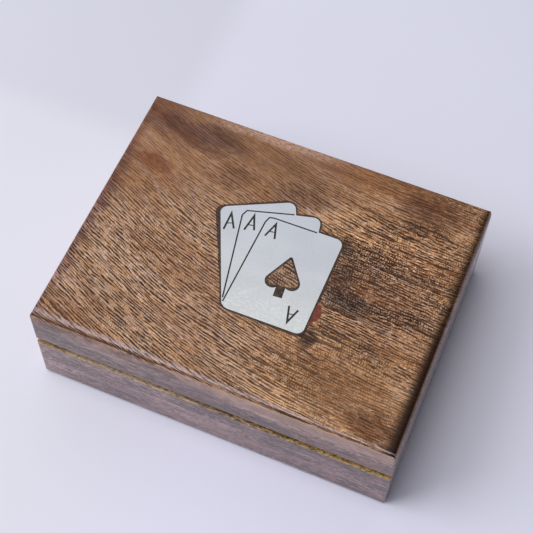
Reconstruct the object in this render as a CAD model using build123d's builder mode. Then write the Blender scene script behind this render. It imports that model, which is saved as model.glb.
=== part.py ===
"""Wooden poker chip case: a hinged box with a drilled chip rack and an inlaid metal fan of aces.

Units are millimetres. +X runs along the length, to the right seen from the front. +Y points to the back,
where the hinges are, and +Z up. The origin is the centre of the base's underside.
"""

import os

from build123d import *

# ---------------------------------------------------------------- outside of the case
LENGTH = 150.0
DEPTH = 116.0
HEIGHT = 48.0
PARTING = 25.8              # height of the rim where the lid meets the base
WALL = 8.0
TOP_THICKNESS = 6.5
BOTTOM_THICKNESS = 5.0
CORNER_ROUND = 1.3          # upright corners
FOOT_ROUND = 2.0            # bottom outer edges
RIM_EASE = 0.3              # sanded outer edges at the rim
FINGER_ROUND = 5.4          # lower front edge of the lid, lifted by a finger
TOP_ROUND_BACK = 1.6
TOP_ROUND_LEFT = 1.6
TOP_ROUND_RIGHT = 3.0       # worn rounder than the left
TOP_ROUND_FRONT_LEFT = 3.2  # the front edge is sanded by hand, so its round-over narrows to the right
TOP_ROUND_FRONT_RIGHT = 1.4

# ---------------------------------------------------------------- inside of the case
INSIDE_LENGTH = LENGTH - 2 * WALL
INSIDE_DEPTH = DEPTH - 2 * WALL
FIT_GAP = 0.2               # each side of what is dropped into the case
FELT_THICKNESS = 1.0
RACK_THICKNESS = 14.0
WELL_RADIUS = 20.3          # clears a 39 mm chip
WELL_MOUTH_CHAMFER = 0.8
WELL_COLUMNS = 3
WELL_ROWS = 2
FELT_BOTTOM = BOTTOM_THICKNESS
RACK_BOTTOM = FELT_BOTTOM + FELT_THICKNESS
CEILING = HEIGHT - TOP_THICKNESS

# ---------------------------------------------------------------- hinges
HINGE_OFFSET = 45.0         # hinge centres left and right of the middle
LEAF_LENGTH = 24.0
LEAF_WIDTH = 6.6
LEAF_THICKNESS = 0.9
LEAF_SHY = 0.05             # each leaf lies this far inside its rim
KNUCKLE_RADIUS = 1.8
KNUCKLE_STANDOFF = 0.3      # between the barrel and the back of the case
KNUCKLE_GAP = 0.15          # between neighbouring knuckles
MIDDLE_KNUCKLE = 8.0
PIN_RADIUS = 0.8
PIN_FIT_BASE = 0.02
PIN_FIT_LID = 0.05
PIN_HEAD = 0.35             # how far the pin's domed ends stand out
BARREL_Y = DEPTH / 2 + KNUCKLE_STANDOFF + KNUCKLE_RADIUS
SCREW_SPACING = 15.0
SCREW_HEAD_RADIUS = 1.7
SCREW_SHANK_RADIUS = 0.8
SCREW_LENGTH = 8.0
SCREW_TIP = 1.5
SCREW_CLEARANCE = 0.05
SLOT_WIDTH = 0.4
SLOT_DEPTH = 0.3
MORTISE_INSET = 0.1         # play around a leaf in its mortise
COUNTERSINK = 45.0          # degrees, between a screw head's cone and its axis
SCREW_INSET = 0.4           # the screws sit this far in front of the leaf's middle
SCREW_Y = DEPTH / 2 - LEAF_WIDTH / 2 - SCREW_INSET

# ---------------------------------------------------------------- inlay
PLATE_THICKNESS = 1.2
GLUE_THICKNESS = 0.3
GLUE_LINE = 0.7             # width of the dark line around the metal
ENGRAVING_DEPTH = 0.35
INFILL_SHY = 0.08           # the wax lies this far below the metal's face
CARD_LINE = 0.6             # width of the engraved card edges
LETTER_LINE = 0.8
BAR_LINE = 0.45
CARD_ROUND = 3.0
SHARED_CORNER_ROUND = 1.5   # the two hidden cards' lower left corner
# Corners of each hand-cut card, from the shared lower left corner anticlockwise
FRONT_CARD = [(-9.3, -25.4), (24.6, -24.9), (24.7, 20.7), (-7.4, 20.2)]
MIDDLE_CARD = [(-9.0, -24.9), (21.2, -16.8), (12.5, 27.2), (-18.2, 19.1)]
REAR_CARD = [(-8.6, -25.1), (18.2, -10.8), (0.0, 30.3), (-27.2, 16.6)]
# Engraved edges of the middle and the front card, from the bottom upwards
CARD_EDGES = [
    [(-9.7, -21.4), (-17.5, 16.3), (-16.5, 19.0), (1.8, 24.6)],
    [(-9.0, -23.0), (-7.7, 16.8), (-6.9, 19.5), (-5.0, 19.9), (13.3, 20.2)],
]
# Each letter A, engraved freehand: left foot, apex, right foot and the two ends of its bar
LETTERS = [
    [(-21.8, 7.2), (-21.8, 15.4), (-18.1, 9.0), (-21.8, 10.3), (-19.4, 11.3)],
    [(-14.1, 10.1), (-12.9, 17.9), (-10.3, 11.4), (-13.7, 12.9), (-11.1, 13.5)],
    [(-5.4, 10.8), (-3.3, 17.6), (-1.2, 10.8), (-4.5, 13.4), (-2.1, 13.8)],
    [(19.5, -15.3), (17.4, -21.7), (15.5, -14.8), (18.6, -17.9), (16.4, -18.1)],
]
SPADE_CENTRE = (9.0, -3.5)
SPADE_TILT = 4.6
SPADE_TIP = 8.4             # centre of the rounded tip above the spade's middle
SPADE_TIP_RADIUS = 0.8
LOBES = [(-3.9, -3.1), (3.7, -2.3)]
LOBE_RADIUS = 3.2
STEM_WIDTH = 3.7
STEM_BOTTOM = -9.6
STEM_TOP = 3.0
ISLAND_GAP = 0.9            # dark filler between the metal and the wooden island in the spade
ISLAND_RISE = 0.5           # extra filler below the island
PATCH_OUTLINE = [
    (24.0, -9.7),
    (26.9, -9.9),
    (28.1, -12.4),
    (28.5, -14.8),
    (27.7, -16.8),
    (26.3, -18.1),
    (25.9, -20.0),
    (25.3, -21.1),
    (24.0, -21.3),
]
PATCH_DEPTH = 0.8
POCKET_DEPTH = PLATE_THICKNESS + GLUE_THICKNESS


def save(name, part):
    """Labels a finished piece and writes it under its node name."""
    part.label = name
    export_step(part, f"parts/{name}.step")


# ================================================================ envelopes
def rounded_plan(mode=Mode.ADD):
    """Outline of the case from above."""
    return RectangleRounded(LENGTH, DEPTH, CORNER_ROUND, mode=mode)


def side_profile(width, bottom, top, bottom_radius, top_radius):
    """Upright rectangle, centred left to right, with its lower and upper corners rounded."""
    with BuildSketch() as profile:
        with Locations((0, (bottom + top) / 2)):
            Rectangle(width, top - bottom)
        fillet(profile.vertices().group_by(Axis.Y)[0], bottom_radius)
        fillet(profile.vertices().group_by(Axis.Y)[-1], top_radius)
    return profile.sketch


with BuildPart() as base_envelope:
    with BuildSketch():
        rounded_plan()
    extrude(amount=PARTING)
    with BuildSketch(Plane.XZ.offset(-DEPTH / 2)):
        add(side_profile(LENGTH, 0, PARTING, FOOT_ROUND, RIM_EASE))
    extrude(amount=DEPTH, mode=Mode.INTERSECT)
    with BuildSketch(Plane.YZ.offset(-LENGTH / 2)):
        add(side_profile(DEPTH, 0, PARTING, FOOT_ROUND, RIM_EASE))
    extrude(amount=LENGTH, mode=Mode.INTERSECT)

with BuildPart() as lid_wall_envelope:
    with BuildSketch(Plane.XY.offset(PARTING)):
        rounded_plan()
    extrude(amount=CEILING - PARTING)
    with BuildSketch(Plane.XZ.offset(-DEPTH / 2)) as lid_front_view:
        with Locations((0, (PARTING + CEILING) / 2)):
            Rectangle(LENGTH, CEILING - PARTING)
        fillet(lid_front_view.vertices().group_by(Axis.Y)[0], RIM_EASE)
    extrude(amount=DEPTH, mode=Mode.INTERSECT)
    with BuildSketch(Plane.YZ.offset(-LENGTH / 2)) as lid_side_view:
        with Locations((0, (PARTING + CEILING) / 2)):
            Rectangle(DEPTH, CEILING - PARTING)
        fillet(lid_side_view.vertices().group_by(Axis.Y)[0].sort_by(Axis.X)[0], FINGER_ROUND)
        fillet(lid_side_view.vertices().group_by(Axis.Y)[0].sort_by(Axis.X)[-1], RIM_EASE)
    extrude(amount=LENGTH, mode=Mode.INTERSECT)


# ================================================================ walls
HALF_LENGTH = LENGTH / 2
HALF_DEPTH = DEPTH / 2
INNER_X = INSIDE_LENGTH / 2
INNER_Y = INSIDE_DEPTH / 2

# The two corners that each wall joins, as the signs of their x and y, in anticlockwise order
WALL_CORNERS = {
    "front": [(-1, -1), (1, -1)],
    "back": [(1, 1), (-1, 1)],
    "left": [(-1, 1), (-1, -1)],
    "right": [(1, -1), (1, 1)],
}
HINGE_CENTRES = {"left": -HINGE_OFFSET, "right": HINGE_OFFSET}


def screw_places(centre):
    """Where one hinge leaf's screws go, seen from above."""
    return [(centre + side * SCREW_SPACING / 2, SCREW_Y) for side in (-1, 1)]


SCREW_PLACES = [place for centre in HINGE_CENTRES.values() for place in screw_places(centre)]


def wall_plan(side):
    """Plan of one wall, mitred where it meets its neighbours."""
    outer = [(x * HALF_LENGTH, y * HALF_DEPTH) for x, y in WALL_CORNERS[side]]
    inner = [(x * INNER_X, y * INNER_Y) for x, y in reversed(WALL_CORNERS[side])]
    return outer + inner


def wall(envelope, side, bottom, top, outward):
    """One mitred wall cut from an envelope; the back wall is mortised and drilled on its rim for the hinges.

    outward is +1 where the rim faces up (base) and -1 where it faces down (lid).
    """
    with BuildPart() as board:
        with BuildSketch(Plane.XY.offset(bottom)):
            Polygon(*wall_plan(side), align=None)
        extrude(amount=top - bottom)
        add(envelope, mode=Mode.INTERSECT)
        if side == "back":
            mortise_depth = LEAF_SHY + LEAF_THICKNESS
            with BuildSketch(Plane.XY.offset(PARTING)):
                with Locations(*[(x, HALF_DEPTH - LEAF_WIDTH / 2) for x in HINGE_CENTRES.values()]):
                    Rectangle(LEAF_LENGTH + 2 * MORTISE_INSET, LEAF_WIDTH + 2 * MORTISE_INSET)
            extrude(amount=-outward * mortise_depth, mode=Mode.SUBTRACT)
            with BuildSketch(Plane.XY.offset(PARTING)):
                with Locations(*SCREW_PLACES):
                    Circle(SCREW_SHANK_RADIUS + SCREW_CLEARANCE)
            extrude(amount=-outward * (SCREW_LENGTH + 2 * SCREW_CLEARANCE + LEAF_SHY), mode=Mode.SUBTRACT)
    return board.part


for side in WALL_CORNERS:
    save(f"base_{side}_wall", wall(base_envelope.part, side, 0, PARTING, outward=1))
    save(f"lid_{side}_wall", wall(lid_wall_envelope.part, side, PARTING, CEILING, outward=-1))


# ================================================================ base: bottom, felt and rack
with BuildPart() as base_bottom_panel:
    with BuildSketch():
        Rectangle(INSIDE_LENGTH, INSIDE_DEPTH)
    extrude(amount=BOTTOM_THICKNESS)
save("base_bottom_panel", base_bottom_panel.part)

with BuildPart() as base_felt:
    with BuildSketch(Plane.XY.offset(FELT_BOTTOM)):
        Rectangle(INSIDE_LENGTH - 2 * FIT_GAP, INSIDE_DEPTH - 2 * FIT_GAP)
    extrude(amount=FELT_THICKNESS)
save("base_felt", base_felt.part)

with BuildPart() as chip_rack:
    with BuildSketch(Plane.XY.offset(RACK_BOTTOM)):
        Rectangle(INSIDE_LENGTH - 2 * FIT_GAP, INSIDE_DEPTH - 2 * FIT_GAP)
        with GridLocations(INSIDE_LENGTH / WELL_COLUMNS, INSIDE_DEPTH / WELL_ROWS, WELL_COLUMNS, WELL_ROWS):
            Circle(WELL_RADIUS, mode=Mode.SUBTRACT)
    extrude(amount=RACK_THICKNESS)
    mouths = chip_rack.faces().sort_by(Axis.Z)[-1].inner_wires()
    chamfer([edge for mouth in mouths for edge in mouth.edges()], WELL_MOUTH_CHAMFER)
save("chip_rack", chip_rack.part)


# ================================================================ inlay outlines, drawn on the lid's top
def card(corners, shared_round=CARD_ROUND):
    """One playing card's outline; the lowest corner is the one the cards share."""
    with BuildSketch() as outline:
        Polygon(*corners, align=None)
        fillet(outline.vertices().sort_by(Axis.Y)[1:], CARD_ROUND)
        fillet(outline.vertices().sort_by(Axis.Y)[0], shared_round)
    return outline.sketch


def stroke(points, width):
    """An engraved line through these points."""
    with BuildSketch() as line:
        with BuildLine():
            Polyline(*points)
        trace(line_width=width)
    return line.sketch


def hull(*circles):
    """The outline stretched round these circles, each a centre and a radius."""
    with BuildSketch(Plane.XY) as outline:
        with BuildLine():
            for centre, radius in circles:
                CenterArc(centre, radius, 0, 360)
        make_hull()
    return outline.sketch


def on_card(sketch):
    """The spade's sketch, moved and tilted to its place on the front card."""
    return sketch.moved(Location((*SPADE_CENTRE, 0), (0, 0, SPADE_TILT)))


SPADE_TOP = ((0, SPADE_TIP), SPADE_TIP_RADIUS)

with BuildSketch() as spade:
    for lobe in LOBES:
        add(hull(SPADE_TOP, (lobe, LOBE_RADIUS)))
    with Locations((0, (STEM_TOP + STEM_BOTTOM) / 2)):
        Rectangle(STEM_WIDTH, STEM_TOP - STEM_BOTTOM)

with BuildSketch() as island:
    add(hull(SPADE_TOP, *[((x, y + ISLAND_RISE), LOBE_RADIUS) for x, y in LOBES]))
    offset(amount=-ISLAND_GAP, mode=Mode.REPLACE)

with BuildSketch() as fan:
    add(card(FRONT_CARD))
    add(card(MIDDLE_CARD, SHARED_CORNER_ROUND))
    add(card(REAR_CARD, SHARED_CORNER_ROUND))

with BuildSketch() as pocket:
    add(fan.sketch)
    offset(amount=GLUE_LINE, mode=Mode.REPLACE)
    add(on_card(island.sketch), mode=Mode.SUBTRACT)

with BuildSketch() as engraving:
    for edge in CARD_EDGES:
        add(stroke(edge, CARD_LINE))
    for left_foot, apex, right_foot, bar_start, bar_end in LETTERS:
        add(stroke([left_foot, apex, right_foot], LETTER_LINE))
        add(stroke([bar_start, bar_end], BAR_LINE))

with BuildSketch() as patch:
    Polygon(*PATCH_OUTLINE, align=None)
    with BuildSketch(mode=Mode.PRIVATE) as pocket_outline:
        add(fan.sketch)
        offset(amount=GLUE_LINE, mode=Mode.REPLACE)
    add(pocket_outline.sketch, mode=Mode.SUBTRACT)


def on_lid(sketch, depth):
    """The same outline, moved to a depth below the lid's top."""
    return sketch.moved(Location((0, 0, HEIGHT - depth)))


# ================================================================ lid: top panel, inlay and felt
with BuildPart() as lid_top_panel:
    for x, radius in ((-HALF_LENGTH, TOP_ROUND_FRONT_LEFT), (HALF_LENGTH, TOP_ROUND_FRONT_RIGHT)):
        with BuildSketch(Plane.YZ.offset(x)) as end_view:
            with Locations((0, (CEILING + HEIGHT) / 2)):
                Rectangle(DEPTH, TOP_THICKNESS)
            fillet(end_view.vertices().group_by(Axis.Y)[-1].sort_by(Axis.X)[0], radius)
            fillet(end_view.vertices().group_by(Axis.Y)[-1].sort_by(Axis.X)[-1], TOP_ROUND_BACK)
    loft(ruled=True)
    with BuildSketch(Plane.XZ.offset(-HALF_DEPTH)) as front_view:
        with Locations((0, (CEILING + HEIGHT) / 2)):
            Rectangle(LENGTH, TOP_THICKNESS)
        fillet(front_view.vertices().group_by(Axis.Y)[-1].sort_by(Axis.X)[0], TOP_ROUND_LEFT)
        fillet(front_view.vertices().group_by(Axis.Y)[-1].sort_by(Axis.X)[-1], TOP_ROUND_RIGHT)
    extrude(amount=DEPTH, mode=Mode.INTERSECT)
    with BuildSketch(Plane.XY.offset(CEILING)):
        rounded_plan()
    extrude(amount=TOP_THICKNESS, mode=Mode.INTERSECT)
    extrude(on_lid(pocket.sketch, POCKET_DEPTH), amount=POCKET_DEPTH, mode=Mode.SUBTRACT)
    extrude(on_lid(patch.sketch, PATCH_DEPTH), amount=PATCH_DEPTH, mode=Mode.SUBTRACT)
save("lid_top_panel", lid_top_panel.part)

with BuildPart() as inlay_plate:
    extrude(on_lid(fan.sketch, PLATE_THICKNESS), amount=PLATE_THICKNESS)
    extrude(on_lid(on_card(spade.sketch), PLATE_THICKNESS), amount=PLATE_THICKNESS, mode=Mode.SUBTRACT)
    extrude(on_lid(engraving.sketch, ENGRAVING_DEPTH), amount=ENGRAVING_DEPTH, mode=Mode.SUBTRACT)
save("inlay_plate", inlay_plate.part)

with BuildPart() as inlay_glue_bed:
    extrude(on_lid(pocket.sketch, POCKET_DEPTH), amount=POCKET_DEPTH)
    extrude(on_lid(fan.sketch, PLATE_THICKNESS), amount=PLATE_THICKNESS, mode=Mode.SUBTRACT)
    with BuildSketch(Plane.XY.offset(HEIGHT - PLATE_THICKNESS)):
        add(on_card(spade.sketch))
        add(on_card(island.sketch), mode=Mode.SUBTRACT)
    extrude(amount=PLATE_THICKNESS)
save("inlay_glue_bed", inlay_glue_bed.part)

with BuildPart() as engraving_infill:
    extrude(on_lid(engraving.sketch, ENGRAVING_DEPTH), amount=ENGRAVING_DEPTH - INFILL_SHY)
save("engraving_infill", engraving_infill.part)

with BuildPart() as filler_patch:
    extrude(on_lid(patch.sketch, PATCH_DEPTH), amount=PATCH_DEPTH)
save("filler_patch", filler_patch.part)

with BuildPart() as lid_felt:
    with BuildSketch(Plane.XY.offset(CEILING - FELT_THICKNESS)):
        Rectangle(INSIDE_LENGTH - 2 * FIT_GAP, INSIDE_DEPTH - 2 * FIT_GAP)
    extrude(amount=FELT_THICKNESS)
save("lid_felt", lid_felt.part)


# ================================================================ hinges
def screw(x, outward):
    """One countersunk slotted screw, with its head flush with the leaf's face and its tip in the wood."""
    face = PARTING - outward * LEAF_SHY
    cone = SCREW_HEAD_RADIUS - SCREW_SHANK_RADIUS
    with BuildPart() as body:
        with BuildSketch(Plane.XZ):
            with BuildLine():
                Polyline(
                    (0, 0),
                    (SCREW_HEAD_RADIUS, 0),
                    (SCREW_SHANK_RADIUS, -cone),
                    (SCREW_SHANK_RADIUS, SCREW_TIP - SCREW_LENGTH),
                    (0, -SCREW_LENGTH),
                    close=True,
                )
            make_face()
        revolve(axis=Axis.Z)
        with BuildSketch(Plane.XY):
            Rectangle(2 * SCREW_HEAD_RADIUS, SLOT_WIDTH)
        extrude(amount=-SLOT_DEPTH, mode=Mode.SUBTRACT)
    turn = 0 if outward > 0 else 180
    return body.part.moved(Location((x, SCREW_Y, face), (turn, 0, 0)))


def hinge_leaf(centre, outward):
    """One leaf with its knuckles: the outer two on the base (outward +1), the middle one on the lid (-1)."""
    face = PARTING - outward * LEAF_SHY
    half = LEAF_LENGTH / 2
    inner = MIDDLE_KNUCKLE / 2
    if outward > 0:
        knuckles = [(-half, -inner - KNUCKLE_GAP / 2), (inner + KNUCKLE_GAP / 2, half)]
        pin_fit = PIN_FIT_BASE
    else:
        knuckles = [(-inner + KNUCKLE_GAP / 2, inner - KNUCKLE_GAP / 2)]
        pin_fit = PIN_FIT_LID
    with BuildPart() as leaf:
        with BuildSketch(Plane.XY.offset(face)):
            with Locations((centre, HALF_DEPTH - LEAF_WIDTH / 2)):
                Rectangle(LEAF_LENGTH, LEAF_WIDTH)
            for start, end in knuckles:
                tab_end = BARREL_Y - (PIN_RADIUS + KNUCKLE_RADIUS) / 2
                with Locations((centre + (start + end) / 2, (HALF_DEPTH + tab_end) / 2)):
                    Rectangle(end - start, tab_end - HALF_DEPTH)
        extrude(amount=-outward * LEAF_THICKNESS)
        for start, end in knuckles:
            with BuildSketch(Plane.YZ.offset(centre + start)):
                with Locations((BARREL_Y, PARTING)):
                    Circle(KNUCKLE_RADIUS)
            extrude(amount=end - start)
        for start, end in knuckles:
            with BuildSketch(Plane.YZ.offset(centre + start)):
                with Locations((BARREL_Y, PARTING)):
                    Circle(PIN_RADIUS + pin_fit)
            extrude(amount=end - start, mode=Mode.SUBTRACT)
        with BuildSketch(Plane.XY.offset(face)):
            with Locations(*screw_places(centre)):
                Circle(SCREW_HEAD_RADIUS + SCREW_CLEARANCE)
        extrude(amount=-outward * LEAF_THICKNESS, taper=COUNTERSINK, mode=Mode.SUBTRACT)
    return leaf.part


def hinge_pin(centre):
    """The pin through one hinge's knuckles, with slightly domed ends."""
    half = LEAF_LENGTH / 2 + PIN_HEAD
    with BuildPart() as pin:
        with BuildSketch(Plane.YZ.offset(centre - half)):
            with Locations((BARREL_Y, PARTING)):
                Circle(PIN_RADIUS)
        extrude(amount=2 * half)
        fillet(pin.edges().filter_by(GeomType.CIRCLE), PIN_HEAD)
    return pin.part


for side, centre in HINGE_CENTRES.items():
    save(f"{side}_hinge_base_leaf", hinge_leaf(centre, outward=1))
    save(f"{side}_hinge_lid_leaf", hinge_leaf(centre, outward=-1))
    save(f"{side}_hinge_pin", hinge_pin(centre))

for owner, outward in (("base", 1), ("lid", -1)):
    screws = Compound(children=[screw(x, outward) for x, _ in SCREW_PLACES])
    save(f"{owner}_hinge_screws", screws)
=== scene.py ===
"""Finished look of the wooden poker chip case: materials, felt linings, studio and camera.

Metres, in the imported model's frame. The material recipes work in millimetres.
"""

import math

import bpy
from mathutils import Matrix, Vector, noise


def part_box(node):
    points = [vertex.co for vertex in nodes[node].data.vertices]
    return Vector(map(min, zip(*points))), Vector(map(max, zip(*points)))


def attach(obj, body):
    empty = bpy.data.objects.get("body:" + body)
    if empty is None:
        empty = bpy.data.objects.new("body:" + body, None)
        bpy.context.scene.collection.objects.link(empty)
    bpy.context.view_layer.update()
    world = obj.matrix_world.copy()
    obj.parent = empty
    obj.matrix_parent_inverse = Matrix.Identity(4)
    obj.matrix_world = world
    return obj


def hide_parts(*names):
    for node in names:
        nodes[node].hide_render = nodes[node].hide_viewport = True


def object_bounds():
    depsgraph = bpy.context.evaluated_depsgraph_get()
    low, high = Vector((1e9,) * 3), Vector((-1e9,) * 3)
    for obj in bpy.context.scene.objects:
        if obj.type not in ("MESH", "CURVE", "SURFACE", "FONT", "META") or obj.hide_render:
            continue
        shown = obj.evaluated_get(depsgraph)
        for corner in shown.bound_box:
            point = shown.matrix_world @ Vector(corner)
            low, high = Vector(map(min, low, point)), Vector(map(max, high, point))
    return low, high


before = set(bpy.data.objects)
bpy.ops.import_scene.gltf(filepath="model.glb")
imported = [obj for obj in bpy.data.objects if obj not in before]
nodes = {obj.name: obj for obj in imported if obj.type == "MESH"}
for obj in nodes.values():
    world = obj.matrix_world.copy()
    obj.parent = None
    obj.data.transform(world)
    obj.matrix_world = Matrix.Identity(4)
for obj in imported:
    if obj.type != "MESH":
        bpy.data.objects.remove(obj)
cad_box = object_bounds()


# ================================================================ node building
class Shader:
    """A material in the making, with a short name for each kind of node that the recipes use."""

    def __init__(self, name, tree=None):
        if tree is None:
            self.material = bpy.data.materials.new(name)
            self.material.use_nodes = True
            tree = self.material.node_tree
        self.tree = tree
        self.tree.nodes.clear()

    def node(self, kind, **settings):
        made = self.tree.nodes.new("ShaderNode" + kind)
        for key, value in settings.items():
            setattr(made, key, value)
        return made

    def put(self, socket, value):
        """Links the socket if value is another node's output, and sets it otherwise."""
        if isinstance(value, bpy.types.NodeSocket):
            self.tree.links.new(value, socket)
        elif isinstance(value, tuple) and socket.type == "RGBA":
            socket.default_value = (*value, 1.0)
        else:
            socket.default_value = value

    def math(self, operation, a, b=0.0):
        made = self.node("Math", operation=operation)
        self.put(made.inputs[0], a)
        self.put(made.inputs[1], b)
        return made.outputs[0]

    def add(self, a, b):
        return self.math("ADD", a, b)

    def times(self, a, b):
        return self.math("MULTIPLY", a, b)

    def span(self, value, low, high, out_low=0.0, out_high=1.0):
        """Smooth step of value from low to high."""
        made = self.node("MapRange", interpolation_type="SMOOTHSTEP")
        for socket, number in zip(made.inputs[:5], (value, low, high, out_low, out_high)):
            self.put(socket, number)
        return made.outputs[0]

    def mix(self, factor, a, b, blend="MIX"):
        made = self.node("Mix", data_type="RGBA", blend_type=blend, clamp_factor=True)
        self.put(made.inputs["Factor"], factor)
        self.put(made.inputs[6], a)
        self.put(made.inputs[7], b)
        return made.outputs[2]

    def tint(self, factor, color, by):
        """The colour, multiplied by another one as far as factor goes."""
        return self.mix(factor, color, self.mix(1.0, color, by, "MULTIPLY"))

    def vector(self, x, y, z):
        made = self.node("CombineXYZ")
        for socket, value in zip(made.inputs, (x, y, z)):
            self.put(socket, value)
        return made.outputs[0]

    def split(self, vector):
        made = self.node("SeparateXYZ")
        self.put(made.inputs[0], vector)
        return made.outputs[0], made.outputs[1], made.outputs[2]

    def millimetres(self):
        """The point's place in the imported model's frame, at rest, in millimetres."""
        scaled = self.node("VectorMath", operation="SCALE")
        self.put(scaled.inputs[0], self.node("TexCoord").outputs["Object"])
        scaled.inputs["Scale"].default_value = 1000.0
        return self.split(scaled.outputs[0])

    def noise(self, place, detail=2.0, roughness=0.5, seed=0.0, distortion=0.0):
        """Noise from 0 to 1 of about one cell per unit of place."""
        made = self.node("TexNoise", noise_dimensions="4D")
        self.put(made.inputs["Vector"], place)
        for key, value in (("W", seed), ("Scale", 1.0), ("Detail", detail), ("Roughness", roughness)):
            made.inputs[key].default_value = value
        made.inputs["Distortion"].default_value = distortion
        return made.outputs[0]

    def swing(self, value, gain):
        """Noise from 0 to 1 brought to swing about 0, with this gain."""
        return self.times(self.math("SUBTRACT", value, 0.5), gain)

    def cells(self, x, y, z, sizes, **settings):
        """Noise whose cells measure sizes, in millimetres."""
        place = [self.math("DIVIDE", value, size) for value, size in zip((x, y, z), sizes)]
        return self.noise(self.vector(*place), **settings)

    def spot(self, x, y, centre, reach):
        """1 at the centre of an ellipse, and 0 outside its reach."""
        across = self.math("DIVIDE", self.math("SUBTRACT", x, centre[0]), reach[0])
        along = self.math("DIVIDE", self.math("SUBTRACT", y, centre[1]), reach[1])
        squares = self.add(self.times(across, across), self.times(along, along))
        return self.span(squares, 0.0, 1.0, 1.0, 0.0)

    def bump(self, height, depth):
        """Normal of a surface whose height goes from 0 to depth millimetres."""
        made = self.node("Bump")
        made.inputs["Distance"].default_value = depth / 1000
        self.put(made.inputs["Height"], height)
        return made.outputs[0]

    def finish(self, **inputs):
        """Ends the material in a Principled shader with these inputs, spaces written as underscores."""
        surface = self.node("BsdfPrincipled")
        for key, value in inputs.items():
            self.put(surface.inputs[key.replace("_", " ")], value)
        output = self.node("OutputMaterial")
        self.tree.links.new(surface.outputs[0], output.inputs["Surface"])
        return self.material


def paint(material, *names):
    """Gives each CAD node this material."""
    for name in names:
        slots = nodes[name].data.materials
        slots.clear()
        slots.append(material)


# ================================================================ wood
LIGHT = (0.74, 0.51, 0.37)
MIDDLE = (0.31, 0.165, 0.088)
DARK = (0.030, 0.012, 0.008)
# Painted shade for the dark band along the lid's right edge.
PAINTED_SHADE_COLOR = (0.022, 0.008, 0.004)
GRIME = (0.022, 0.012, 0.009)
# Wear, and a painted reflection of the bright backdrop, along the lid's back edge.
SCUFF_AND_SHEEN = (0.52, 0.33, 0.26)
GOLD = (0.60, 0.40, 0.19)
# Painted highlight along the lid's rounded front edge.
PAINTED_HIGHLIGHT = (0.42, 0.34, 0.39)
# Mauve: the wood's colour with a painted reflection of the pale floor in it; MAUVE_PALE paints it lighter
# towards the right.
MAUVE_PALE = (0.72, 0.49, 0.39)
MAUVE_LIGHT = (0.44, 0.290, 0.240)
MAUVE = (0.25, 0.142, 0.125)
MAUVE_DARK = (0.085, 0.055, 0.062)

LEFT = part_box("lid_top_panel")[0].x * 1000
LID_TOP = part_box("lid_top_panel")[1].z * 1000
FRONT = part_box("base_front_wall")[0].y * 1000
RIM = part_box("base_front_wall")[1].z * 1000

ROW_PITCH = 1.16            # between two rows of bold slits, and of slim ones
SLIM_PITCH = 0.74
WIDEST_SLIT = 0.16
ROW_SHIFT = 7.3             # sets the noise of one row apart from that of the next

BEND_AT = 4.0               # the lid's grain turns here, over this reach, by this slope
BEND_REACH = 16.0
BEND_SLOPE = 0.33
RIGHT_SLOPE = 0.07

# Darker and lighter places on the lid: centre, reach, and what the wood's colour is multiplied by.
TONE_PATCHES = (
    ((-49.0, 46.0), (27.0, 10.0), (0.36, 0.31, 0.37)),
    ((-68.0, 53.0), (14.0, 12.0), (0.62, 0.56, 0.66)),
    ((-61.0, 26.0), (11.0, 5.0), (0.62, 0.46, 0.40)),
    ((-27.0, 32.0), (9.0, 8.0), (0.74, 0.70, 0.68)),
    ((53.0, 46.0), (18.0, 10.0), (0.36, 0.28, 0.27)),
    ((36.0, -5.5), (14.0, 6.0), (0.42, 0.46, 0.58)),
    ((-58.0, 36.0), (30.0, 22.0), (1.14, 1.14, 1.16)),
    ((0.0, 47.0), (24.0, 11.0), (0.90, 0.89, 0.93)),
    ((45.0, -1.0), (30.0, 24.0), (0.86, 0.85, 0.92)),
    ((48.0, 22.0), (26.0, 14.0), (1.40, 1.38, 1.38)),
    ((2.0, 34.0), (18.0, 7.0), (0.60, 0.58, 0.60)),
    ((62.0, -50.0), (14.0, 7.0), (0.40, 0.30, 0.25)),
    ((47.0, -38.0), (28.0, 16.0), (0.68, 0.62, 0.56)),
    ((-78.0, 0.0), (11.0, 90.0), (0.48, 0.40, 0.54)),
    ((27.0, -25.0), (5.5, 6.0), (0.14, 0.13, 0.16)),
    ((26.5, 19.0), (5.0, 4.5), (0.38, 0.36, 0.38)),
    ((29.5, 5.0), (7.0, 13.0), (0.52, 0.54, 0.62)),
)

# The three inlaid cards: centre, half size, and turn in degrees.
CARDS = (
    ((8.2, -2.4), (16.5, 22.9), 0.3),
    ((1.5, 1.1), (15.9, 22.4), 14.8),
    ((-4.6, 2.9), (15.5, 22.6), 27.0),
)
CARD_CORNER = 3.0


def grain_layers(s, along, across, z, seed):
    """The figure of the wood: broad bands, streaks, threads and pores, each longer than it is wide."""
    return {
        "bands": s.cells(along, across, z, (80, 6, 6), seed=seed, detail=2.0),
        "streaks": s.cells(along, across, z, (22, 1.5, 1.5), seed=seed + 1, detail=1.0),
        "threads": s.cells(along, across, z, (5.0, 0.75, 0.75), seed=seed + 2, detail=1.0),
        "flecks": s.cells(along, across, z, (1.7, 0.5, 0.5), seed=seed + 3, detail=1.0),
        "pores": s.cells(along, across, z, (3.2, 0.42, 0.42), seed=seed + 4, detail=1.0),
        "flush": s.cells(along, across, z, (45, 12, 12), seed=seed + 6, detail=1.0),
    }


def warped(s, along, across, z, seed, bend=6.0, waver=1.5):
    """The across-grain coordinate, wandering and wavering as grain does."""
    across = s.add(across, s.swing(s.cells(along, across, z, (60, 22, 22), seed=seed, detail=1.0), bend))
    return s.add(across, s.swing(s.cells(along, across, z, (9, 4, 4), seed=seed + 1, detail=1.0), waver))


def peak(s, row):
    """1 in the middle of each unit of row, falling to 0 at its ends."""
    middle = s.math("ABSOLUTE", s.math("SUBTRACT", s.math("FRACT", row), 0.5))
    return s.math("SUBTRACT", 1.0, s.times(middle, 2.0))


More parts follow.
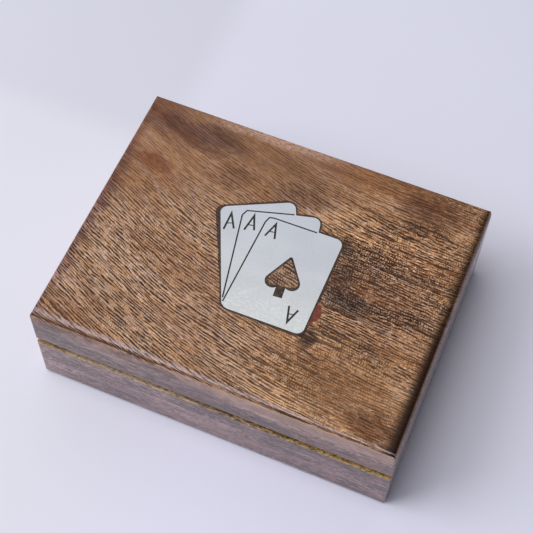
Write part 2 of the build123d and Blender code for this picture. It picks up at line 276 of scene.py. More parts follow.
def rows(s, along, across, pitch, dash, seed, low=0.52, high=0.88, uneven=2.8):
    """Dark slits in rows pitch apart, each row broken into dashes of its own."""
    row = s.math("DIVIDE", across, pitch)
    place = s.vector(s.math("DIVIDE", along, dash), s.times(s.math("FLOOR", row), ROW_SHIFT), 0.0)
    width = s.math("MINIMUM", s.swing(s.noise(place, 1.0, seed=seed), uneven), WIDEST_SLIT)
    return s.span(s.add(peak(s, row), width), low, high)


def bricks(s, along, across, pitch, length, seed):
    """Thin dark bars that cut the wood between two rows of slits into bricks."""
    number = s.math("FLOOR", s.add(s.math("DIVIDE", across, pitch), 0.5))
    start = s.node("TexWhiteNoise", noise_dimensions="1D")
    s.put(start.inputs["W"], s.add(number, seed))
    place = s.vector(s.math("DIVIDE", along, 2.0 * length), s.times(number, ROW_SHIFT), 0.0)
    drift = s.swing(s.noise(place, 1.0, seed=seed + 1.0), 1.6)
    bar = s.add(s.add(s.math("DIVIDE", along, length), start.outputs["Value"]), drift)
    strength = s.swing(s.noise(place, 1.0, seed=seed + 2.0), 2.4)
    return s.span(s.add(peak(s, bar), strength), 0.5, 0.95)


def cracks(s, place, sizes, seed, width):
    """1 along the thin, long, wandering lines where a noise crosses its middle."""
    level = s.math("ABSOLUTE", s.swing(s.cells(*place, sizes, seed=seed), 1.0))
    return s.span(level, 0.4 * width, width, 1.0, 0.0)


def lacquered(s, place, color, pores, gloss, shine):
    """Ends a wood recipe in open pores under clear lacquer."""
    mottle = s.cells(*place, (5.0, 5.0, 5.0), seed=91.0, detail=2.0)
    lacquer = s.cells(*place, (3.0, 3.0, 3.0), seed=92.0, detail=2.0)
    return s.finish(
        Base_Color=color,
        Roughness=s.add(s.span(mottle, 0.3, 0.7, 0.30, 0.38), s.times(pores, 0.15)),
        Specular_IOR_Level=shine,
        Normal=s.bump(s.times(pores, -1.0), 0.05),
        Coat_Weight=gloss,
        Coat_Roughness=0.12,
        Coat_IOR=1.5,
        Coat_Normal=s.bump(s.add(lacquer, s.times(pores, -0.35)), 0.03),
    )


def bent_grain(s, x, y, z):
    """The across-grain coordinate of the lid's board, whose grain bends at BEND_AT."""
    turn = s.math("DIVIDE", s.math("SUBTRACT", BEND_AT, x), BEND_REACH)
    settled = s.math("LOGARITHM", s.add(s.math("EXPONENT", turn), 1.0), math.e)
    slope = s.add(s.times(x, RIGHT_SLOPE), s.times(settled, -BEND_SLOPE * BEND_REACH))
    return warped(s, x, s.add(s.add(y, s.math("SUBTRACT", z, LID_TOP)), slope), z, 3.0, 6.0, 1.2)


def lid_slits(s, x, y, z, across, backward):
    """The dark lines of the lid's board: its crackle, the fine relief that it makes, and open pores."""
    left, right = s.span(x, 35.0, -10.0), s.span(x, -5.0, 30.0)
    wander = s.add(across, s.swing(s.cells(x, across, z, (30, 6, 6), seed=17.0), 2.6))
    wander = s.add(wander, s.swing(s.cells(x, across, z, (4.5, 2.0, 2.0), seed=18.0), 1.1))
    bold = rows(s, x, wander, ROW_PITCH, 4.5, 24.0, 0.44, 0.80)
    slim = rows(s, x, s.add(wander, s.times(x, 0.02)), SLIM_PITCH, 3.0, 34.0)
    slits = s.times(s.math("MAXIMUM", bold, s.times(slim, 0.5)), s.add(0.46, s.times(left, 0.22)))

    bars = bricks(s, x, wander, ROW_PITCH, 1.05, 44.0)
    slim_bars = bricks(s, x, s.add(wander, 0.4), SLIM_PITCH, 0.80, 54.0)
    bars = s.math("MAXIMUM", bars, s.times(slim_bars, 0.6))
    woven = s.span(s.cells(x, y, z, (26, 14, 20), seed=15.0), 0.35, 0.6, 0.35, 1.0)
    barred = s.times(s.times(bars, woven), s.add(0.34, s.times(right, 0.14)))

    swerve = s.add(wander, s.swing(s.cells(x, across, z, (24, 9, 9), seed=20.0), 5.0))
    lines = rows(s, x, swerve, 3.1, 24.0, 64.0, 0.83, 1.0, 1.1)
    lines = s.times(lines, s.add(0.5, s.times(right, 0.45)))
    pores = s.times(s.math("MAXIMUM", s.times(bold, 0.5), lines), s.span(backward, 5.0, 32.0, 1.0, 0.3))
    pores = s.times(pores, s.span(s.spot(x, y, (58.0, -46.0), (26.0, 16.0)), 0.0, 1.0, 1.0, 0.5))
    return s.math("MAXIMUM", bars, bold), s.math("MAXIMUM", slits, barred), pores


def lid_tone(s, x, y, grain, backward, calm, fine):
    """How light the lid's wood is, from 0 to 1: busier on the right, calmer towards the back left."""
    relief = s.add(s.span(backward, 2.0, 30.0, 1.0, 0.33), s.spot(x, y, (44.0, 10.0), (36.0, 36.0)))
    relief = s.add(relief, s.times(s.spot(x, y, (52.0, -42.0), (34.0, 18.0)), -0.3))
    swing = s.add(s.span(x, -10.0, 35.0, 0.35, 0.8), s.span(backward, 18.0, 32.0, 0.0, 0.5))
    level = s.add(s.span(calm, 0.0, 1.0, 0.80, 0.58), s.span(x, 15.0, 45.0, 0.0, -0.09))
    broad = s.add(s.swing(grain["bands"], 1.1), s.swing(grain["streaks"], 0.25))
    tone = s.add(level, s.times(broad, swing))
    tone = s.add(tone, s.times(s.swing(grain["flecks"], 0.6), relief))
    return s.add(tone, s.times(fine, s.times(relief, -1.0)))


def lid_color(s, x, y, z, across, grain, tone, calm):
    """The colour of the lid's clean wood, with warm and cool grains and painted glints of light."""
    right = s.span(x, -5.0, 30.0)
    color = s.mix(s.span(tone, 0.0, 0.55), DARK, MIDDLE)
    color = s.mix(s.span(tone, 0.42, 1.05), color, LIGHT)
    warmth = s.add(s.times(s.cells(x, across, z, (7.0, 1.1, 1.1), seed=26.0, detail=3.0), 0.7),
                   s.times(s.cells(x, y, z, (0.9, 0.9, 0.9), seed=27.0), 0.3))
    cast = s.mix(s.span(warmth, 0.38, 0.62), (0.95, 1.02, 1.16), (1.06, 0.97, 0.78))
    color = s.mix(1.0, color, cast, "MULTIPLY")
    color = s.tint(right, color, (1.06, 0.965, 0.80))
    color = s.mix(s.times(calm, 0.35), color, (0.215, 0.088, 0.038))
    color = s.mix(s.times(s.span(grain["flush"], 0.42, 0.72), 0.4), color, (0.26, 0.095, 0.030))
    # Painted glints: small bright flecks where light catches the grain, more on the right.
    painted_glints = s.cells(x, across, z, (1.5, 0.55, 0.55), seed=25.0)
    painted_glints = s.times(s.span(painted_glints, 0.57, 0.66), s.add(0.15, s.times(right, 0.35)))
    return s.mix(s.times(painted_glints, s.span(calm, 0.0, 1.0, 1.0, 0.2)), color, (0.84, 0.62, 0.44))


def grime(s, x, y, ragged):
    """Old polish caught in the wood round the metal, in an uneven rim about a millimetre wide."""
    rim = None
    for centre, half, degrees in CARDS:
        turn = math.radians(degrees)
        right, ahead = s.math("SUBTRACT", x, centre[0]), s.math("SUBTRACT", y, centre[1])
        u = s.add(s.times(right, math.cos(turn)), s.times(ahead, math.sin(turn)))
        v = s.add(s.times(right, -math.sin(turn)), s.times(ahead, math.cos(turn)))
        past = [s.math("MAXIMUM", s.math("SUBTRACT", s.math("ABSOLUTE", place), size - CARD_CORNER), 0.0)
                for place, size in zip((u, v), half)]
        squares = s.add(s.times(past[0], past[0]), s.times(past[1], past[1]))
        gap = s.math("SUBTRACT", s.math("SQRT", squares), CARD_CORNER)
        rim = gap if rim is None else s.math("MINIMUM", rim, gap)
    width = s.span(s.add(s.times(x, 0.02), s.times(ragged, 0.35)), -1.2, 1.6, 0.7, 1.8)
    return s.times(s.span(s.math("DIVIDE", rim, width), 1.0, 0.45), s.span(rim, -1.2, -0.6))


def lid_marks(s, x, y, color, grain, ragged, pores, crackle):
    """Adds darker and lighter patches, crackle in the spade, open pores, grime, wear with a painted
    reflection on the back edge, and painted shade on the right edge.
    """
    patch_x, patch_y = s.add(x, ragged), s.math("SUBTRACT", y, ragged)
    grained = s.add(0.95, s.add(s.swing(grain["streaks"], 1.2), s.swing(grain["threads"], 0.9)))
    for centre, size, patch_tint in TONE_PATCHES:
        color = s.tint(s.times(s.spot(patch_x, patch_y, centre, size), grained), color, patch_tint)
    in_spade = s.span(s.spot(x, y, (8.5, -4.0), (12.0, 13.0)), 0.1, 0.4)
    cracked = s.mix(s.times(crackle, 0.9), (0.43, 0.27, 0.17), DARK)
    color = s.mix(s.times(in_spade, 0.8), color, cracked)
    color = s.mix(s.times(pores, 0.9), color, DARK)
    color = s.mix(s.times(grime(s, x, y, ragged), 0.85), color, GRIME)
    # Wear and a painted reflection of the bright backdrop: a lighter band along the back edge.
    at_back = s.span(s.add(y, s.times(ragged, 0.35)), 52.0, 55.0)
    back_scuff_and_sheen = s.times(at_back, s.spot(x, y, (-18.0, 56.0), (36.0, 20.0)))
    color = s.mix(s.times(back_scuff_and_sheen, s.span(grain["flecks"], 0.35, 0.6, 0.1, 0.8)), color, SCUFF_AND_SHEEN)
    # Painted shade: a dark band along the right edge, stronger towards the front.
    right_edge_place = s.add(s.add(x, s.times(y, -0.02)), s.times(ragged, 0.10))
    right_edge_shade = s.times(s.span(right_edge_place, 69.0, 73.0), s.span(y, 30.0, -20.0, 0.78, 0.97))
    return s.mix(right_edge_shade, color, PAINTED_SHADE_COLOR)


def lid_edges(s, x, y, z, color, tone, ragged):
    """Adds a painted highlight and a painted dark reflection on the rounded front edge, and the sides'
    mauve, a painted reflection of the pale floor. Gives the colour, the gloss, and 1 on the sides.
    """
    round_over = s.add(2.3, s.times(x, -0.012))
    inward = s.add(s.math("SUBTRACT", y, FRONT), s.times(ragged, 0.10))
    inward = s.math("DIVIDE", inward, round_over)
    narrower = s.add(inward, s.span(x, 15.0, 55.0, 0.0, 0.1))
    # Painted highlight: a pale band high on the rounded front edge, narrower on the right.
    highlight_band = s.times(s.span(inward, 0.68, 0.94), s.span(narrower, 1.55, 1.15))
    # Painted dark reflection: the lower part of the rounded front edge darkened.
    rolled = s.times(s.span(inward, 0.98, 0.70), s.span(inward, 0.28, 0.44))
    color = s.tint(rolled, color, (0.70, 0.66, 0.62))
    color = s.mix(s.times(highlight_band, s.span(tone, 0.1, 0.8, 0.2, 0.6)), color, PAINTED_HIGHLIGHT)
    # Painted dark reflection: a dark line low on the rounded edge, strongest on the left.
    dark_reflection_line = s.times(s.span(inward, 0.26, 0.36), s.span(inward, 0.66, 0.48))
    color = s.mix(s.times(dark_reflection_line, s.span(x, -20.0, 5.0, 0.6, 0.08)), color, (0.050, 0.019, 0.010))

    nx, ny = (s.math("ABSOLUTE", part) for part in s.split(s.node("TexCoord").outputs["Normal"])[:2])
    faces_back = s.times(s.span(ny, 0.6, 0.9), s.span(y, 0.0, 1.0))
    upright = s.math("MAXIMUM", s.span(nx, 0.6, 0.9), faces_back)
    side = s.math("MAXIMUM", s.span(inward, 0.34, 0.24), upright)
    # The sides' mauve: a painted reflection of the pale floor over the wood.
    blotch = s.cells(x, y, s.add(z, ragged), (11, 9, 4), seed=22.0, detail=3.0)
    side_tone = s.add(s.times(tone, 0.5), s.swing(blotch, 1.5))
    mauve = s.mix(s.span(side_tone, 0.0, 0.55), MAUVE_DARK, MAUVE_LIGHT)
    # Painted light: the sides' mauve paler towards the right.
    pale = s.times(s.span(x, -25.0, 20.0, 0.10, 0.5), s.span(upright, 0.0, 1.0, 1.0, 0.35))
    mauve = s.mix(pale, mauve, MAUVE_PALE)
    color = s.mix(s.times(side, 0.9), color, mauve)

    gloss = s.math("MAXIMUM", s.times(highlight_band, 0.6), s.span(rolled, 0.0, 1.0, 0.35, 0.2))
    return color, s.times(gloss, s.span(x, LEFT + 0.2, LEFT + 2.0, 0.25, 1.0)), side


def lid_top_wood():
    """The lid's board: bending grain, woven figure on the right, darker and lighter patches, and painted
    highlight, reflection and shade at its edges.
    """
    s = Shader("lid_top_wood")
    x, y, z = s.millimetres()
    across = bent_grain(s, x, y, z)
    grain = grain_layers(s, x, across, z, 5.0)
    ragged = s.swing(s.cells(x, y, z, (5, 3, 5), seed=16.0), 9.0)
    backward = s.add(s.times(x, -0.183), s.times(y, 0.4685))
    calm = s.span(backward, 6.0, 26.0)
    crackle, fine, pores = lid_slits(s, x, y, z, across, backward)
    tone = lid_tone(s, x, y, grain, backward, calm, fine)
    color = lid_color(s, x, y, z, across, grain, tone, calm)
    color = lid_marks(s, x, y, color, grain, ragged, pores, crackle)
    color, gloss, side = lid_edges(s, x, y, z, color, tone, ragged)
    return lacquered(s, (x, y, z), color, s.times(pores, s.span(side, 0.0, 1.0, 1.0, 0.3)), gloss, 0.05)


def bare_rim(s, x, y, z, tone, pores, seed):
    """The base's rim, without lacquer: golden and speckled along the front, plain wood elsewhere."""
    gold = s.mix(s.span(tone, 0.1, 0.8), (0.17, 0.095, 0.042), GOLD)
    gold = s.mix(s.times(s.span(x, 5.0, 60.0), 0.5), gold, (0.66, 0.42, 0.14))
    pale = s.times(s.span(x, 25.0, -30.0), s.span(x, -72.0, -55.0))
    gold = s.mix(s.times(pale, 0.6), gold, (0.66, 0.51, 0.36))
    gold = s.mix(s.times(s.span(x, -55.0, -72.0), 0.5), gold, (0.46, 0.27, 0.17))
    specks = s.span(s.cells(x, y, z, (1.6, 0.7, 0.7), seed=seed, detail=2.0), 0.50, 0.60)
    gold = s.mix(s.times(specks, s.span(x, -40.0, 20.0, 0.5, 0.8)), gold, (0.06, 0.034, 0.016))
    plain = s.mix(s.span(tone, 0.0, 1.0), (0.21, 0.115, 0.055), (0.56, 0.36, 0.20))
    plain = s.mix(s.times(pores, 0.8), plain, (0.10, 0.05, 0.025))
    bare = s.mix(s.span(y, FRONT + 3.2, FRONT + 4.2), gold, plain)
    return s.mix(s.span(z, RIM, RIM - 0.5, 0.0, 0.6), bare, (0.10, 0.055, 0.035))


def side_wood(name, grain_axis, seed, of_base=False):
    """A wall's board: the same wood, turned mauve by a painted reflection of the pale floor."""
    s = Shader(name)
    x, y, z = s.millimetres()
    along, across = (x, y) if grain_axis == "x" else (y, x)
    across = warped(s, along, across, z, seed)
    upward = s.add(z, s.swing(s.cells(along, across, z, (30, 12, 9), seed=seed + 2, detail=2.0), 9.0))
    grain = grain_layers(s, along, across, upward, seed + 3)
    blotch = s.cells(along, across, upward, (26, 9, 5), seed=seed + 10, detail=3.0)
    tone = s.add(0.5, s.add(s.swing(grain["bands"], 1.0), s.swing(grain["streaks"], 1.0)))
    tone = s.add(tone, s.add(s.swing(s.span(grain["threads"], 0.3, 0.7), 1.0),
                             s.swing(s.span(grain["flecks"], 0.3, 0.7), 1.1)))
    tone = s.add(tone, s.swing(blotch, 1.7))
    pores = s.math("MAXIMUM", cracks(s, (along, across, upward), (12, 1.6, 1.6), seed + 12, 0.07),
                   s.times(rows(s, along, s.add(upward, across), 0.95, 3.5, seed + 13), 0.7))
    pores = s.times(pores, s.span(blotch, 0.6, 0.4, 0.3, 0.9))
    # Mauve: the wood's colour with a painted reflection of the pale floor in it.
    color = s.mix(s.span(tone, -0.1, 0.55), MAUVE_DARK, MAUVE)
    color = s.mix(s.span(tone, 0.45, 1.2), color, MAUVE_LIGHT)
    color = s.mix(s.times(s.span(grain["flush"], 0.45, 0.75), 0.35), color, (0.22, 0.10, 0.075))
    color = s.mix(s.times(pores, 0.65), color, MAUVE_DARK)
    if not of_base:
        # Painted light and shade: the lid's walls darker towards the bottom and lighter towards the top,
        # most on the right.
        low = s.mix(s.span(x, -25.0, 20.0), (0.80, 0.68, 0.62), (0.80, 0.58, 0.40))
        high = s.mix(s.span(x, -25.0, 20.0), (0.96, 0.95, 0.92), (1.45, 1.40, 1.22))
        color = s.mix(1.0, color, s.mix(s.span(z, 34.0, 42.0), low, high), "MULTIPLY")
        return lacquered(s, (x, y, z), color, pores, 0.5, 0.5)
    cast = s.mix(s.span(x, -25.0, 35.0), (1.08, 1.03, 1.08), (0.98, 0.88, 0.88))
    color = s.mix(1.0, color, cast, "MULTIPLY")
    shaded = s.times(s.span(z, RIM - 6.0, RIM - 1.5), s.span(x, 15.0, 50.0, 0.0, 0.6))
    color = s.mix(shaded, color, (0.05, 0.035, 0.04))
    facing = s.math("ABSOLUTE", s.split(s.node("TexCoord").outputs["Normal"])[2])
    level = s.math("ABSOLUTE", s.math("SUBTRACT", z, RIM))
    ledge = s.times(s.span(level, 0.35, 0.1), s.span(facing, 0.5, 0.8))
    lip = s.math("MAXIMUM", ledge, s.span(z, RIM - 1.5, RIM - 0.6, 0.0, 0.85))
    color = s.mix(lip, color, bare_rim(s, x, y, z, tone, pores, seed + 11))
    return lacquered(s, (x, y, z), color, pores, s.span(lip, 0.0, 1.0, 0.5, 0.12), 0.5)


def rack_wood(name, seed, gloss):
    """Plain, lighter wood for the inside."""
    s = Shader(name)
    x, y, z = s.millimetres()
    grain = grain_layers(s, x, warped(s, x, y, z, seed), z, seed + 2)
    tone = s.add(0.5, s.add(s.swing(grain["bands"], 1.2), s.swing(grain["streaks"], 0.8)))
    tone = s.add(tone, s.swing(s.span(grain["threads"], 0.3, 0.7), 0.35))
    pores = s.span(grain["pores"], 0.58, 0.66)
    color = s.mix(s.span(tone, 0.0, 0.55), (0.17, 0.085, 0.04), (0.42, 0.25, 0.12))
    color = s.mix(s.span(tone, 0.45, 1.1), color, (0.66, 0.43, 0.24))
    color = s.mix(s.times(pores, 0.7), color, (0.12, 0.055, 0.025))
    return lacquered(s, (x, y, z), color, pores, gloss, 0.4)


paint(lid_top_wood(), "lid_top_panel")
paint(side_wood("lid_side_wood_x", "x", 41.0), "lid_front_wall", "lid_back_wall")
paint(side_wood("lid_side_wood_y", "y", 62.0), "lid_left_wall", "lid_right_wall")
paint(side_wood("base_wood_x", "x", 183.0, of_base=True), "base_front_wall", "base_back_wall")
paint(side_wood("base_wood_y", "y", 204.0, of_base=True), "base_left_wall", "base_right_wall")
paint(rack_wood("base_bottom_wood", 125.0, 0.3), "base_bottom_panel")
paint(rack_wood("rack_wood", 146.0, 0.5), "chip_rack")


# ================================================================ metal, resin, wax, filler
def sanded_metal(name, color, tarnish, roughness, direction, seed, far_reflection_color=None):
    """Bright metal with sanding scratches along direction, an angle in degrees, and cloudy wear."""
    s = Shader(name)
    x, y, z = s.millimetres()
    turn = math.radians(direction)
    along = s.add(s.times(x, math.cos(turn)), s.times(y, math.sin(turn)))
    across = s.math("SUBTRACT", s.times(y, math.cos(turn)), s.times(x, math.sin(turn)))
    scratches = s.cells(along, across, z, (9.0, 0.16, 0.16), seed=seed, detail=3.0, roughness=0.7)
    strays = s.cells(across, s.add(along, s.times(across, 0.4)), z, (7.0, 0.12, 0.12), seed=seed + 1)
    clouds = s.cells(x, y, z, (9.0, 7.0, 9.0), seed=seed + 2, detail=3.0)
    blemishes = s.cells(x, y, z, (1.6, 1.1, 1.6), seed=seed + 3, detail=3.0)
    haze = s.cells(x, y, z, (26.0, 15.0, 26.0), seed=seed + 4)
    # Painted reflection: the colour changes to the far colour towards the back.
    if far_reflection_color:
        color = s.mix(s.span(y, -24.0, 24.0), color, far_reflection_color)
    color = s.tint(s.span(haze, 0.35, 0.65, 0.0, 0.8), color, (0.91, 0.91, 0.92))
    color = s.tint(s.span(clouds, 0.35, 0.7, 0.0, 0.6), color, (0.92, 0.92, 0.93))
    buffed = s.times(s.span(blemishes, 0.48, 0.62), s.span(y, -6.0, -20.0, 0.15, 1.0))
    color = s.tint(buffed, color, (1.13, 1.12, 1.08))
    color = s.mix(s.times(s.span(blemishes, 0.62, 0.75), 0.6), color, tarnish)
    color = s.mix(s.times(s.span(scratches, 0.60, 0.75), 0.25), color, tarnish)
    rough = s.add(s.span(clouds, 0.3, 0.7, roughness - 0.04, roughness + 0.06),
                  s.times(s.span(scratches, 0.5, 0.75), 0.12))
    height = s.add(s.times(scratches, 0.5), s.times(s.span(strays, 0.6, 0.8), -0.3))
    height = s.add(height, s.times(clouds, 2.0))
    return s.finish(Base_Color=color, Metallic=1.0, Roughness=rough, Normal=s.bump(height, 0.006))


def dull(name, color, other, roughness, grain, depth, seed, coat=0.0):
    """Filled, waxed or glued places: a mottled, grainy solid."""
    s = Shader(name)
    x, y, z = s.millimetres()
    mottle = s.cells(x, y, z, (grain * 4, grain * 3, grain * 4), seed=seed, detail=3.0)
    grit = s.cells(x, y, z, (grain, grain, grain), seed=seed + 1, detail=2.0)
    shade = s.mix(s.span(s.add(s.times(mottle, 0.7), s.times(grit, 0.3)), 0.35, 0.65), color, other)
    rough = s.span(grit, 0.3, 0.7, roughness - 0.08, roughness + 0.08)
    return s.finish(
        Base_Color=shade,
        Roughness=rough,
        Specular_IOR_Level=0.2,
        Normal=s.bump(grit, depth),
        Coat_Weight=coat,
        Coat_Roughness=0.12,
    )


# The inlay's colour at the front, and its darker, bluer colour at the back, a painted reflection.
INLAY_NEAR, INLAY_FAR_REFLECTION = (0.92, 0.945, 0.965), (0.85, 0.885, 0.970)
inlay = sanded_metal("inlay_metal", INLAY_NEAR, (0.50, 0.49, 0.47), 0.20, 32.0, 11.0, INLAY_FAR_REFLECTION)
brass = sanded_metal("hinge_brass", (0.78, 0.57, 0.25), (0.30, 0.19, 0.08), 0.30, 0.0, 17.0)
steel = sanded_metal("pin_steel", (0.58, 0.57, 0.55), (0.25, 0.23, 0.21), 0.32, 0.0, 23.0)
resin = dull("inlay_resin", (0.016, 0.011, 0.009), (0.075, 0.045, 0.030), 0.45, 0.5, 0.03, 31.0, 0.3)
wax = dull("engraving_wax", (0.012, 0.011, 0.011), (0.050, 0.047, 0.046), 0.60, 0.35, 0.05, 35.0)
filler = dull("wood_filler", (0.120, 0.022, 0.012), (0.205, 0.045, 0.026), 0.5, 0.6, 0.05, 37.0, 0.3)
paint(inlay, "inlay_plate")
paint(brass, "left_hinge_base_leaf", "left_hinge_lid_leaf", "right_hinge_base_leaf",
      "right_hinge_lid_leaf", "base_hinge_screws", "lid_hinge_screws")
paint(steel, "left_hinge_pin", "right_hinge_pin")
paint(resin, "inlay_glue_bed")
paint(wax, "engraving_infill")
paint(filler, "filler_patch")


# ================================================================ felt linings
def felt_material():
    """Short-pile green felt: matted fibres in every direction, with a soft sheen."""
    s = Shader("felt")
    x, y, z = s.millimetres()
    mats = s.cells(x, y, z, (0.8, 0.25, 0.8), seed=51.0, detail=3.0, roughness=0.7, distortion=1.5)
    cross = s.cells(x, y, z, (0.25, 0.8, 0.8), seed=52.0, detail=3.0, roughness=0.7, distortion=1.5)
    patches = s.cells(x, y, z, (14.0, 10.0, 14.0), seed=53.0, detail=2.0)
    pile = s.math("MAXIMUM", mats, cross)
    shade = s.mix(s.span(pile, 0.42, 0.72), (0.010, 0.052, 0.030), (0.040, 0.155, 0.085))
    shade = s.mix(s.times(s.span(patches, 0.4, 0.7), 0.35), shade, (0.050, 0.150, 0.090))
    return s.finish(
        Base_Color=shade,
        Roughness=0.95,
        Specular_IOR_Level=0.15,
        Normal=s.bump(pile, 0.30),
        Sheen_Weight=0.45,
        Sheen_Roughness=0.45,
        Sheen_Tint=(0.55, 0.85, 0.62),
    )


FELT = felt_material()
FELT_CELL = 0.0014
FELT_EDGE = 0.0009          # radius of the free face's rolled edge
FELT_DROP = 0.45            # how much of the felt's thickness that edge loses


def felt_sheet(node, body, facing, loft):
    """Replaces a plain felt solid by a sheet whose free face, up or down, swells by loft(x, y) metres."""
    low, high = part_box(node)
    columns = round((high.x - low.x) / FELT_CELL)
    ranks = round((high.y - low.y) / FELT_CELL)
    back, front = (low.z, high.z) if facing > 0 else (high.z, low.z)

    def free_height(px, py):
        border = min(px - low.x, high.x - px, py - low.y, high.y - py)
        roll = 1.0 - min(1.0, border / FELT_EDGE)
        sunk = FELT_DROP * abs(front - back) * (1.0 - math.sqrt(max(0.0, 1.0 - roll * roll)))
        return front + facing * (loft(px, py) - sunk)

    points, faces = [], []
    for free in (False, True):
        for j in range(ranks + 1):
            py = low.y + (high.y - low.y) * j / ranks
            for i in range(columns + 1):
                px = low.x + (high.x - low.x) * i / columns
                points.append((px, py, free_height(px, py) if free else back))
    stride = columns + 1
    layer = stride * (ranks + 1)

    def quad(a, b, c, d):
        faces.append((a, b, c, d) if facing > 0 else (d, c, b, a))

    for j in range(ranks):
        for i in range(columns):
            a = j * stride + i
            quad(a + stride, a + stride + 1, a + 1, a)
            quad(layer + a, layer + a + 1, layer + a + 1 + stride, layer + a + stride)
    for i in range(columns):
        far = ranks * stride + i
        quad(i, i + 1, layer + i + 1, layer + i)
        quad(far + 1, far, layer + far, layer + far + 1)
    for j in range(ranks):
        near, far = j * stride, j * stride + columns
        quad(near + stride, near, layer + near, layer + near + stride)
        quad(far, far + stride, layer + far + stride, layer + far)
    mesh = bpy.data.meshes.new(node + "_cloth")
    mesh.from_pydata(points, [], faces)
    mesh.polygons.foreach_set("use_smooth", [True] * len(mesh.polygons))
    mesh.materials.append(FELT)
    cloth = bpy.data.objects.new(node + "_cloth", mesh)
    bpy.context.scene.collection.objects.link(cloth)
    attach(cloth, body)
    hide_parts(node)


WELL_STEP_X = 0.134 / 3
WELL_STEP_Y = 0.050
WELL_RADIUS = 0.0195
WELL_CENTRES = [((column - 1) * WELL_STEP_X, (row - 0.5) * WELL_STEP_Y)
                for row in range(2) for column in range(3)]


def well_loft(px, py):
    """The felt is pressed flat under the rack and rises a little in the wells."""
    away = min(math.dist((px, py), centre) for centre in WELL_CENTRES)
    rise = max(0.0, 1.0 - (away / WELL_RADIUS) ** 2)
    ripple = noise.noise(Vector((px, py, 0.0)) * 160.0)
    return rise * (0.00022 + 0.00010 * ripple)


def ceiling_loft(px, py):
    """Glued felt: low, wide ripples, drawn in from the free face."""
    ripple = noise.noise(Vector((px * 55.0, py * 40.0, 3.0)))
    fine = noise.noise(Vector((px, py, 0.1)) * 150.0)
    return -0.00012 + 0.00010 * ripple + 0.00004 * fine


felt_sheet("base_felt", "base", 1, well_loft)
felt_sheet("lid_felt", "lid", -1, ceiling_loft)


# ================================================================ studio
def floor_material():
    """Matte, very pale lavender paper, with painted shade behind the case, beside it on the right, and in
    front of it and to its left.
    """
    s = Shader("paper")
    x, y, z = s.millimetres()
    tooth = s.cells(x, y, z, (1.2, 1.2, 1.2), seed=71.0, detail=3.0)
    clouds = s.cells(x, y, z, (160.0, 120.0, 160.0), seed=72.0, detail=1.0)
    shade = s.mix(s.span(clouds, 0.3, 0.7), (0.765, 0.758, 0.865), (0.785, 0.780, 0.885))
    # Painted shade on the floor behind the case and beside it on the right.
    painted_shade_beside = s.times(s.span(x, 80.0, 96.0), s.span(y, -90.0, -20.0))
    shade = s.tint(s.math("MAXIMUM", s.span(y, 55.0, 75.0), painted_shade_beside), shade, (0.925, 0.925, 0.935))
    # Painted shade on the floor in front of the case and to its left.
    near = s.math("MAXIMUM", s.span(y, -20.0, -80.0), s.span(x, -68.0, -88.0))
    cast = s.mix(s.span(x, -70.0, 20.0), (0.925, 0.925, 0.90), (0.96, 0.96, 0.99))
    shade = s.tint(near, shade, cast)
    return s.finish(Base_Color=shade, Roughness=0.9, Specular_IOR_Level=0.1, Normal=s.bump(tooth, 0.02))


FLOOR_HALF = 2.0
FLOOR_GAP = 0.0002          # below the case
floor_mesh = bpy.data.meshes.new("floor")
corners = [(FLOOR_HALF * x, FLOOR_HALF * y, 0) for x, y in ((-1, -1), (1, -1), (1, 1), (-1, 1))]
floor_mesh.from_pydata(corners, [], [(0, 1, 2, 3)])
floor_mesh.materials.append(floor_material())
floor = bpy.data.objects.new("floor", floor_mesh)
floor.location.z = cad_box[0].z - FLOOR_GAP
bpy.context.scene.collection.objects.link(floor)


def softbox(name, place, aim, size, watts, color=(1.0, 1.0, 1.0)):
    """A rectangular studio light at place, turned to aim."""
    data = bpy.data.lights.new(name, "AREA")
    data.shape = "RECTANGLE"
    data.size, data.size_y = size
    data.energy = watts
    data.color = color
    lamp = bpy.data.objects.new(name, data)
    lamp.location = place
    lamp.rotation_euler = (Vector(aim) - Vector(place)).to_track_quat("-Z", "Y").to_euler()
    bpy.context.scene.collection.objects.link(lamp)


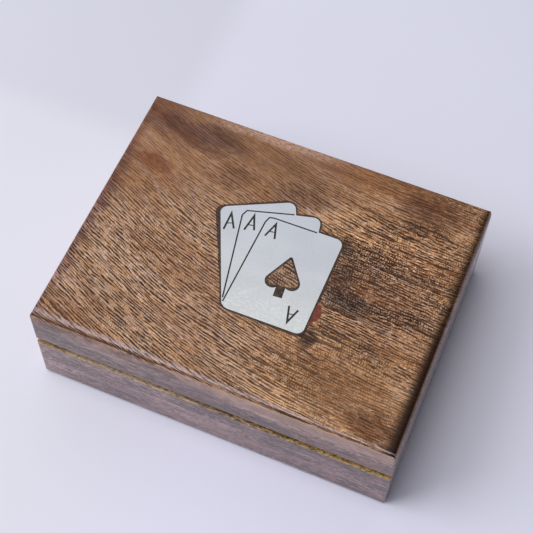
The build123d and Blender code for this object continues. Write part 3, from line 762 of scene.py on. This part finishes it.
softbox("window", (-0.95, -0.50, 1.25), (0.02, 0.0, 0.02), (0.90, 0.90), 12.4, (0.98, 0.985, 1.0))
softbox("ceiling", (-0.20, -0.13, 1.35), (-0.20, -0.13, 0.0), (0.55, 0.45), 5.3)


def room():
    """Soft room light: bright towards the window, to the left and behind, and dark to the right."""
    world = bpy.data.worlds.new("room")
    world.use_nodes = True
    s = Shader("room", world.node_tree)
    x, y, z = s.split(s.node("TexCoord").outputs["Generated"])
    toward = s.add(s.add(s.times(x, -0.80), s.times(y, 0.10)), s.times(z, 0.60))
    light = s.span(toward, -0.05, 0.70, 0.075, 0.66)
    background = s.node("Background")
    cool = s.math("MAXIMUM", s.span(y, 0.1, -0.8), s.span(toward, 0.2, -0.2))
    s.put(background.inputs["Color"], s.mix(cool, (0.985, 0.985, 1.0), (0.88, 0.94, 1.12)))
    s.put(background.inputs["Strength"], light)
    output = s.node("OutputWorld")
    s.tree.links.new(background.outputs[0], output.inputs["Surface"])
    bpy.context.scene.world = world


room()


# ================================================================ camera
LENS = 85.07                # millimetres
SENSOR = 36.0               # millimetres, square
AZIMUTH = math.radians(21.282)
ELEVATION = math.radians(59.807)
ROLL = math.radians(1.565)
DISTANCE = 0.49494
AIM = Vector((0.00070, -0.00206, 0.048))

forward = Vector((
    -math.sin(AZIMUTH) * math.cos(ELEVATION),
    math.cos(AZIMUTH) * math.cos(ELEVATION),
    -math.sin(ELEVATION),
))
level = forward.cross(Vector((0, 0, 1))).normalized()
upright = level.cross(forward)
right = level * math.cos(ROLL) + upright * math.sin(ROLL)
up = right.cross(forward)
camera_data = bpy.data.cameras.new("camera")
camera_data.lens = LENS
camera_data.sensor_width = SENSOR
camera_data.clip_start = 0.01
camera = bpy.data.objects.new("camera", camera_data)
turned = Matrix((right, up, -forward)).transposed().to_4x4()
camera.matrix_world = Matrix.Translation(AIM - forward * DISTANCE) @ turned
bpy.context.scene.collection.objects.link(camera)
bpy.context.scene.camera = camera
bpy.context.scene.view_settings.view_transform = "Standard"
